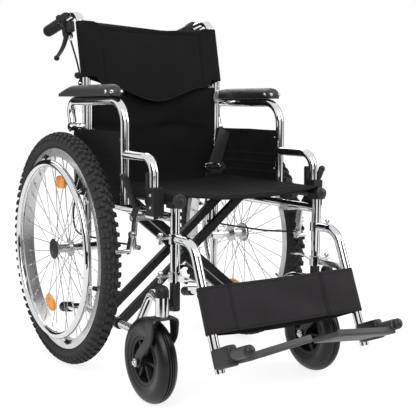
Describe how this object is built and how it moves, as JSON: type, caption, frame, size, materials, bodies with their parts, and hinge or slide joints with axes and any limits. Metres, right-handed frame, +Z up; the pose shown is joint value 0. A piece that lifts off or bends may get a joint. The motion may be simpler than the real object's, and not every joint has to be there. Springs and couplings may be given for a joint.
{
  "type": "all-terrain wheelchair",
  "caption": "Folding wheelchair with knobby spoked rear wheels, push rims, swivel casters, flip-up arms, folding back, hand brakes and swing-away footrests.",
  "frame": {"origin": "on the floor, under the middle of the chair's outline", "axes": "+Z up, the chair faces -Y, the occupant's left is +X"},
  "size_m": [0.644, 1.0497, 0.9312],
  "materials": {
    "chrome_tube": "bright plated steel tube",
    "black_steel": "black powder coat",
    "bright_steel": "plain bright steel",
    "alloy": "polished alloy",
    "black_plastic": "moulded black plastic",
    "grey_plastic": "dark grey moulded plastic",
    "rubber": "black rubber",
    "tyre_rubber": "black tyre rubber",
    "pad": "black skinned foam",
    "cloth": "black woven nylon",
    "webbing": "black webbing"
  },
  "bodies": {
    "right_frame": {"right_side_frame": "chrome_tube", "right_rear_axle": "bright_steel", "right_frame_fittings": "black_plastic", "right_lock_bracket": "bright_steel", "right_brake_cable": "rubber", "back_lower_panel": "cloth", "lap_belt": "webbing"},
    "right_cane": {"right_back_cane": "chrome_tube", "right_push_grip": "rubber", "right_brake_bracket": "black_plastic", "back_upper_panel": "cloth"},
    "right_brake_lever": {"right_brake_lever": "black_plastic"},
    "right_arm": {"right_arm_tube": "chrome_tube", "right_arm_pad": "pad", "right_skirt_guard": "black_plastic"},
    "right_arm_latch": {"right_arm_latch": "black_plastic"},
    "right_wheel": {"right_tyre": "tyre_rubber", "right_rim": "alloy", "right_spokes": "bright_steel", "right_hub": "alloy", "right_handrim": "chrome_tube"},
    "right_fork": {"right_caster_fork": "black_steel"},
    "right_caster": {"right_caster_hub": "black_plastic", "right_caster_tyre": "tyre_rubber"},
    "right_hanger": {"right_hanger": "chrome_tube", "calf_strap": "cloth"},
    "right_footrest": {"right_foot_clamp": "black_steel"},
    "right_footplate": {"right_footplate": "grey_plastic"},
    "right_lock_lever": {"right_lock_lever": "black_plastic"},
    "right_lock_shoe": {"right_lock_shoe": "bright_steel"},
    "left_frame": {"left_side_frame": "chrome_tube", "left_rear_axle": "bright_steel", "left_frame_fittings": "black_plastic", "left_lock_bracket": "bright_steel", "left_brake_cable": "rubber"},
    "left_cane": {"left_back_cane": "chrome_tube", "left_push_grip": "rubber", "left_brake_bracket": "black_plastic"},
    "left_brake_lever": {"left_brake_lever": "black_plastic"},
    "left_arm": {"left_arm_tube": "chrome_tube", "left_arm_pad": "pad", "left_skirt_guard": "black_plastic"},
    "left_arm_latch": {"left_arm_latch": "black_plastic"},
    "left_wheel": {"left_tyre": "tyre_rubber", "left_rim": "alloy", "left_spokes": "bright_steel", "left_hub": "alloy", "left_handrim": "chrome_tube"},
    "left_fork": {"left_caster_fork": "black_steel"},
    "left_caster": {"left_caster_hub": "black_plastic", "left_caster_tyre": "tyre_rubber"},
    "left_hanger": {"left_hanger": "chrome_tube"},
    "left_footrest": {"left_foot_clamp": "black_steel"},
    "left_footplate": {"left_footplate": "grey_plastic"},
    "left_lock_lever": {"left_lock_lever": "black_plastic"},
    "left_lock_shoe": {"left_lock_shoe": "bright_steel"},
    "brace_a": {"brace_to_left_rail": "black_steel", "brace_bolts": "bright_steel"},
    "brace_b": {"brace_to_right_rail": "black_steel"},
    "seat": {"seat_sling": "cloth"}
  },
  "joints": [
    {"name": "fold", "type": "hinge", "parent": "right_frame", "child": "brace_a", "pos_m": [-0.204, 0, 0.132], "axis": [0, -1, 0], "range_deg": [0, 38], "deforming": ["seat_sling", "lap_belt", "back_upper_panel", "back_lower_panel", "calf_strap"]},
    {"name": "cross_pivot", "type": "hinge", "parent": "brace_a", "child": "brace_b", "pos_m": [0, 0, 0.3], "axis": [0, -1, 0], "range_deg": [-76, 0]},
    {"name": "left_frame_pivot", "type": "hinge", "parent": "brace_b", "child": "left_frame", "pos_m": [0.204, 0, 0.132], "axis": [0, -1, 0], "range_deg": [0, 38]},
    {"name": "seat_level", "type": "hinge", "parent": "brace_a", "child": "seat", "pos_m": [0.204, 0, 0.468], "axis": [0, -1, 0], "range_deg": [-38, 0]},
    {"name": "right_back_fold", "type": "hinge", "parent": "right_frame", "child": "right_cane", "pos_m": [-0.204, 0.2483, 0.737], "axis": [-1, 0, 0], "range_deg": [0, 90], "deforming": ["right_brake_cable"]},
    {"name": "right_brake_squeeze", "type": "hinge", "parent": "right_cane", "child": "right_brake_lever", "pos_m": [-0.204, 0.35023, 0.8726], "axis": [1, 0, 0], "range_deg": [0, 22], "stiffness_Nm_per_rad": 0.6, "springref_deg": -5.73},
    {"name": "right_arm_flip", "type": "hinge", "parent": "right_frame", "child": "right_arm", "pos_m": [-0.231, 0.254, 0.622], "axis": [-1, 0, 0], "range_deg": [0, 75]},
    {"name": "right_arm_latch_tilt", "type": "hinge", "parent": "right_frame", "child": "right_arm_latch", "pos_m": [-0.231, -0.1617, 0.463], "axis": [-1, 0, 0], "range_deg": [0, 20]},
    {"name": "right_wheel_spin", "type": "hinge", "parent": "right_frame", "child": "right_wheel", "pos_m": [-0.279, 0.22, 0.305], "axis": [1, 0, 0], "continuous": true},
    {"name": "right_caster_swivel", "type": "hinge", "parent": "right_frame", "child": "right_fork", "pos_m": [-0.24, -0.235, 0.235], "axis": [0, 0, 1], "continuous": true},
    {"name": "right_caster_spin", "type": "hinge", "parent": "right_fork", "child": "right_caster", "pos_m": [-0.24, -0.182, 0.1], "axis": [1, 0, 0], "continuous": true},
    {"name": "right_hanger_swing", "type": "hinge", "parent": "right_frame", "child": "right_hanger", "pos_m": [-0.204, -0.23, 0.34], "axis": [0, 0, -1], "range_deg": [0, 90], "deforming": ["calf_strap"]},
    {"name": "right_footrest_height", "type": "slide", "parent": "right_hanger", "child": "right_footrest", "axis": [0, 0.3891, 0.9212], "range_m": [0, 0.025]},
    {"name": "right_footplate_flip", "type": "hinge", "parent": "right_footrest", "child": "right_footplate", "pos_m": [-0.204, -0.40406, 0.15286], "axis": [0, -0.9212, 0.3891], "range_deg": [0, 84]},
    {"name": "right_lock_lever_turn", "type": "hinge", "parent": "right_frame", "child": "right_lock_lever", "pos_m": [-0.251, -0.118, 0.422], "axis": [1, 0, 0], "range_deg": [0, 35]},
    {"name": "right_lock_shoe_turn", "type": "hinge", "parent": "right_frame", "child": "right_lock_shoe", "pos_m": [-0.251, -0.112, 0.382], "axis": [1, 0, 0], "range_deg": [0, 13.6]},
    {"name": "left_back_fold", "type": "hinge", "parent": "left_frame", "child": "left_cane", "pos_m": [0.204, 0.2483, 0.737], "axis": [-1, 0, 0], "range_deg": [0, 90], "deforming": ["left_brake_cable"]},
    {"name": "left_brake_squeeze", "type": "hinge", "parent": "left_cane", "child": "left_brake_lever", "pos_m": [0.204, 0.35023, 0.8726], "axis": [1, 0, 0], "range_deg": [0, 22], "stiffness_Nm_per_rad": 0.6, "springref_deg": -5.73},
    {"name": "left_arm_flip", "type": "hinge", "parent": "left_frame", "child": "left_arm", "pos_m": [0.231, 0.254, 0.622], "axis": [-1, 0, 0], "range_deg": [0, 75]},
    {"name": "left_arm_latch_tilt", "type": "hinge", "parent": "left_frame", "child": "left_arm_latch", "pos_m": [0.231, -0.1617, 0.463], "axis": [-1, 0, 0], "range_deg": [0, 20]},
    {"name": "left_wheel_spin", "type": "hinge", "parent": "left_frame", "child": "left_wheel", "pos_m": [0.279, 0.22, 0.305], "axis": [1, 0, 0], "continuous": true},
    {"name": "left_caster_swivel", "type": "hinge", "parent": "left_frame", "child": "left_fork", "pos_m": [0.24, -0.235, 0.235], "axis": [0, 0, 1], "continuous": true},
    {"name": "left_caster_spin", "type": "hinge", "parent": "left_fork", "child": "left_caster", "pos_m": [0.24, -0.182, 0.1], "axis": [1, 0, 0], "continuous": true},
    {"name": "left_hanger_swing", "type": "hinge", "parent": "left_frame", "child": "left_hanger", "pos_m": [0.204, -0.23, 0.34], "axis": [0, 0, 1], "range_deg": [0, 90], "deforming": ["calf_strap"]},
    {"name": "left_footrest_height", "type": "slide", "parent": "left_hanger", "child": "left_footrest", "axis": [0, 0.3891, 0.9212], "range_m": [0, 0.025]},
    {"name": "left_footplate_flip", "type": "hinge", "parent": "left_footrest", "child": "left_footplate", "pos_m": [0.204, -0.40406, 0.15286], "axis": [0, 0.9212, -0.3891], "range_deg": [0, 84]},
    {"name": "left_lock_lever_turn", "type": "hinge", "parent": "left_frame", "child": "left_lock_lever", "pos_m": [0.251, -0.118, 0.422], "axis": [1, 0, 0], "range_deg": [0, 35]},
    {"name": "left_lock_shoe_turn", "type": "hinge", "parent": "left_frame", "child": "left_lock_shoe", "pos_m": [0.251, -0.112, 0.382], "axis": [1, 0, 0], "range_deg": [0, 13.6]}
  ],
  "couplings": [
    {"joint": "cross_pivot", "follows": "fold", "ratio": -2},
    {"joint": "left_frame_pivot", "follows": "fold", "ratio": 1},
    {"joint": "seat_level", "follows": "fold", "ratio": -1},
    {"joint": "right_footplate_flip", "follows": "fold", "ratio": 2.2},
    {"joint": "right_lock_shoe_turn", "follows": "right_lock_lever_turn", "ratio": 0.385},
    {"joint": "left_footplate_flip", "follows": "fold", "ratio": 2.2},
    {"joint": "left_lock_shoe_turn", "follows": "left_lock_lever_turn", "ratio": 0.385},
    {"joint": "left_back_fold", "follows": "right_back_fold", "ratio": 1}
  ]
}
